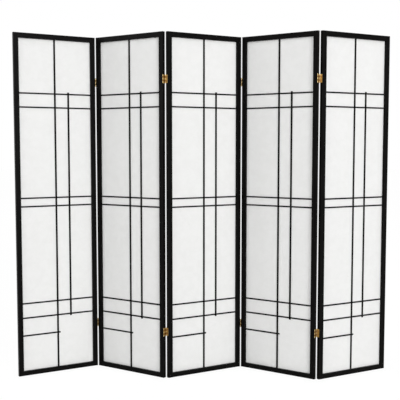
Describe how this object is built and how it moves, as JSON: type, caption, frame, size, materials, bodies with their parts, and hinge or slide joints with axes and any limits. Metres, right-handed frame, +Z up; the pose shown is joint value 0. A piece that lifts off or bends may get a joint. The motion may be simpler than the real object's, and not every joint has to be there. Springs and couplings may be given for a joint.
{
  "type": "folding screen",
  "caption": "Tall folding room screen: black wooden frames with an off-centre lattice over white paper, joined in a zigzag by brass hinges that fold both ways.",
  "frame": {"origin": "on the floor, at the middle of the standing screen's box", "axes": "+X along the row to the right as seen from the lattice side, +Y from the lattice side to the back, +Z up"},
  "size_m": [1.9622, 0.2948, 1.787],
  "materials": {
    "frame_wood": "satin",
    "lattice_wood": "satin",
    "bead_wood": "satin",
    "paper": "matte",
    "hinge_brass": "satin",
    "pin_brass": "satin",
    "screw_brass": "satin"
  },
  "bodies": {
    "panel_1": {"panel_1_left_stile": "frame_wood", "panel_1_right_stile": "frame_wood", "panel_1_top_rail": "frame_wood", "panel_1_bottom_rail": "frame_wood", "panel_1_lattice": "lattice_wood", "panel_1_paper": "paper", "panel_1_paper_beads": "bead_wood", "panel_1_hinge_leaves": "hinge_brass", "panel_1_hinge_screws": "screw_brass"},
    "panel_2": {"panel_2_left_stile": "frame_wood", "panel_2_right_stile": "frame_wood", "panel_2_top_rail": "frame_wood", "panel_2_bottom_rail": "frame_wood", "panel_2_lattice": "lattice_wood", "panel_2_paper": "paper", "panel_2_paper_beads": "bead_wood", "panel_2_hinge_leaves": "hinge_brass", "panel_2_hinge_screws": "screw_brass"},
    "panel_3": {"panel_3_left_stile": "frame_wood", "panel_3_right_stile": "frame_wood", "panel_3_top_rail": "frame_wood", "panel_3_bottom_rail": "frame_wood", "panel_3_lattice": "lattice_wood", "panel_3_paper": "paper", "panel_3_paper_beads": "bead_wood", "panel_3_hinge_leaves": "hinge_brass", "panel_3_hinge_screws": "screw_brass"},
    "panel_4": {"panel_4_left_stile": "frame_wood", "panel_4_right_stile": "frame_wood", "panel_4_top_rail": "frame_wood", "panel_4_bottom_rail": "frame_wood", "panel_4_lattice": "lattice_wood", "panel_4_paper": "paper", "panel_4_paper_beads": "bead_wood", "panel_4_hinge_leaves": "hinge_brass", "panel_4_hinge_screws": "screw_brass"},
    "panel_5": {"panel_5_left_stile": "frame_wood", "panel_5_right_stile": "frame_wood", "panel_5_top_rail": "frame_wood", "panel_5_bottom_rail": "frame_wood", "panel_5_lattice": "lattice_wood", "panel_5_paper": "paper", "panel_5_paper_beads": "bead_wood", "panel_5_hinge_leaves": "hinge_brass", "panel_5_hinge_screws": "screw_brass"},
    "link_1_2": {"hinge_links_1_2": "hinge_brass", "hinge_front_pins_1_2": "pin_brass", "hinge_back_pins_1_2": "pin_brass"},
    "link_2_3": {"hinge_links_2_3": "hinge_brass", "hinge_front_pins_2_3": "pin_brass", "hinge_back_pins_2_3": "pin_brass"},
    "link_3_4": {"hinge_links_3_4": "hinge_brass", "hinge_front_pins_3_4": "pin_brass", "hinge_back_pins_3_4": "pin_brass"},
    "link_4_5": {"hinge_links_4_5": "hinge_brass", "hinge_front_pins_4_5": "pin_brass", "hinge_back_pins_4_5": "pin_brass"}
  },
  "joints": [
    {"name": "fold_front_1_2", "type": "hinge", "parent": "link_1_2", "child": "panel_1", "pos_m": [-0.58509, 0.12686, 0.89575], "axis": [0, 0, 1], "range_deg": [-63, 117]},
    {"name": "fold_back_1_2", "type": "hinge", "parent": "panel_2", "child": "link_1_2", "pos_m": [-0.57261, 0.14594, 0.89575], "axis": [0, 0, -1], "range_deg": [0, 180]},
    {"name": "fold_front_2_3", "type": "hinge", "parent": "link_2_3", "child": "panel_2", "pos_m": [-0.21173, -0.11747, 0.89575], "axis": [0, 0, 1], "range_deg": [0, 180]},
    {"name": "fold_back_2_3", "type": "hinge", "parent": "panel_3", "child": "link_2_3", "pos_m": [-0.19924, -0.09839, 0.89575], "axis": [0, 0, -1], "range_deg": [-63, 117]},
    {"name": "fold_front_3_4", "type": "hinge", "parent": "panel_3", "child": "link_3_4", "pos_m": [0.19929, 0.10358, 0.89575], "axis": [0, 0, -1], "range_deg": [-63.8, 116.2]},
    {"name": "fold_back_3_4", "type": "hinge", "parent": "link_3_4", "child": "panel_4", "pos_m": [0.21204, 0.12248, 0.89575], "axis": [0, 0, 1], "range_deg": [0, 180]},
    {"name": "fold_front_4_5", "type": "hinge", "parent": "panel_4", "child": "link_4_5", "pos_m": [0.5692, -0.14594, 0.89575], "axis": [0, 0, -1], "range_deg": [0, 180]},
    {"name": "fold_back_4_5", "type": "hinge", "parent": "link_4_5", "child": "panel_5", "pos_m": [0.58195, -0.12703, 0.89575], "axis": [0, 0, 1], "range_deg": [-62.9, 117.1]}
  ]
}
